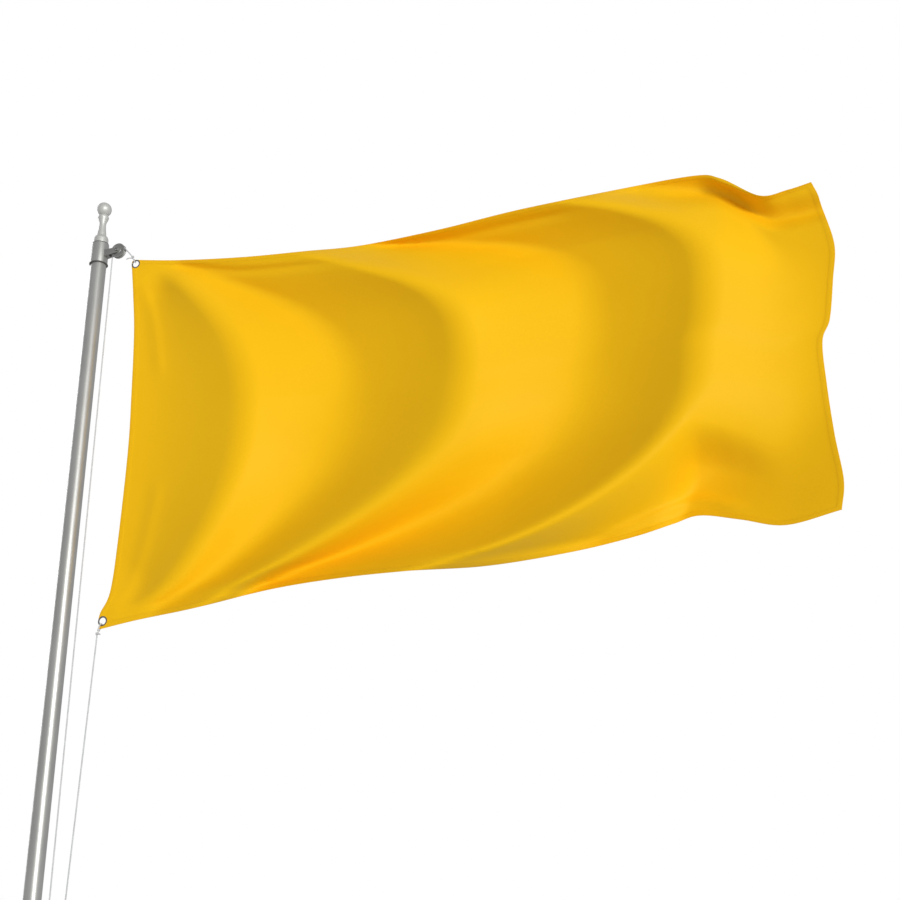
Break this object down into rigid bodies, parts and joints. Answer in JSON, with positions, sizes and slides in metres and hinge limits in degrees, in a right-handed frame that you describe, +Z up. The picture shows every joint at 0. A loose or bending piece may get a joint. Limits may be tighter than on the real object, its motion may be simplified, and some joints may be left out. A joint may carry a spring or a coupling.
{
  "type": "flagpole with flag",
  "caption": "Straight sectional aluminium flagpole on a bolt-down base plate, with a ball finial, a pulley truck, an outside rope halyard on a horn cleat and a plain flying flag.",
  "frame": {"origin": "centre of the base plate underside, on the pole axis", "axes": "+Z up the pole, +X from the pole axis towards the pulley bracket and along the flying flag, +Y across the flag"},
  "size_m": [2.8976, 0.3, 6.15],
  "materials": {
    "satin_aluminium": "satin",
    "cast_aluminium": "matte",
    "galvanised_steel": "matte",
    "stainless_steel": "satin",
    "eyelet_steel": "satin",
    "black_rubber": "matte",
    "bronze": "satin",
    "braided_rope": "matte",
    "yellow_polyester": "satin"
  },
  "bodies": {
    "pole": {"axle_nut": "stainless_steel", "base_gusset_1": "galvanised_steel", "base_gusset_2": "galvanised_steel", "base_gusset_3": "galvanised_steel", "base_gusset_4": "galvanised_steel", "base_plate": "galvanised_steel", "base_socket": "galvanised_steel", "cleat": "cast_aluminium", "cleat_screw_1": "stainless_steel", "cleat_screw_2": "stainless_steel", "finial_ball": "satin_aluminium", "finial_base": "satin_aluminium", "finial_gasket": "black_rubber", "finial_spindle": "stainless_steel", "finial_stem": "satin_aluminium", "halyard_hitch": "braided_rope", "halyard_run": "braided_rope", "joint_screw_1": "stainless_steel", "joint_screw_2": "stainless_steel", "joint_screw_3": "stainless_steel", "joint_screw_4": "stainless_steel", "joint_spigot": "satin_aluminium", "pole_lower_section": "satin_aluminium", "pole_upper_section": "satin_aluminium", "pulley_bracket": "cast_aluminium", "sheave_axle": "stainless_steel", "sheave_washer_1": "stainless_steel", "sheave_washer_2": "stainless_steel", "socket_set_screw_1": "stainless_steel", "socket_set_screw_2": "stainless_steel", "spindle_nut": "stainless_steel", "truck_collar": "cast_aluminium", "truck_seal_ring": "black_rubber", "truck_set_screw_1": "stainless_steel", "truck_set_screw_2": "stainless_steel"},
    "sheave": {"sheave": "cast_aluminium", "sheave_bush": "bronze"},
    "hoist": {"halyard_lead": "braided_rope", "halyard_fall": "braided_rope", "top_knot": "braided_rope", "bottom_knot": "braided_rope"},
    "flag": {"flag": "yellow_polyester", "grommet_top": "eyelet_steel", "grommet_bottom": "eyelet_steel", "top_tie_loop": "braided_rope", "bottom_tie_loop": "braided_rope"}
  },
  "joints": [
    {"name": "halyard_hoist", "type": "slide", "parent": "pole", "child": "hoist", "axis": [0, 0, 1], "range_m": [-2.7, 0], "deforming": ["halyard_lead", "halyard_fall"]},
    {"name": "flag_swing", "type": "hinge", "parent": "hoist", "child": "flag", "pos_m": [0.153, 0, 5.883], "axis": [0, 0, 1], "range_deg": [-120, 120]},
    {"name": "sheave_spin", "type": "hinge", "parent": "pole", "child": "sheave", "pos_m": [0.086, 0, 5.921], "axis": [0, 1, 0], "continuous": true}
  ],
  "couplings": [
    {"joint": "sheave_spin", "follows": "halyard_hoist", "rad_per_m": -38.76}
  ]
}
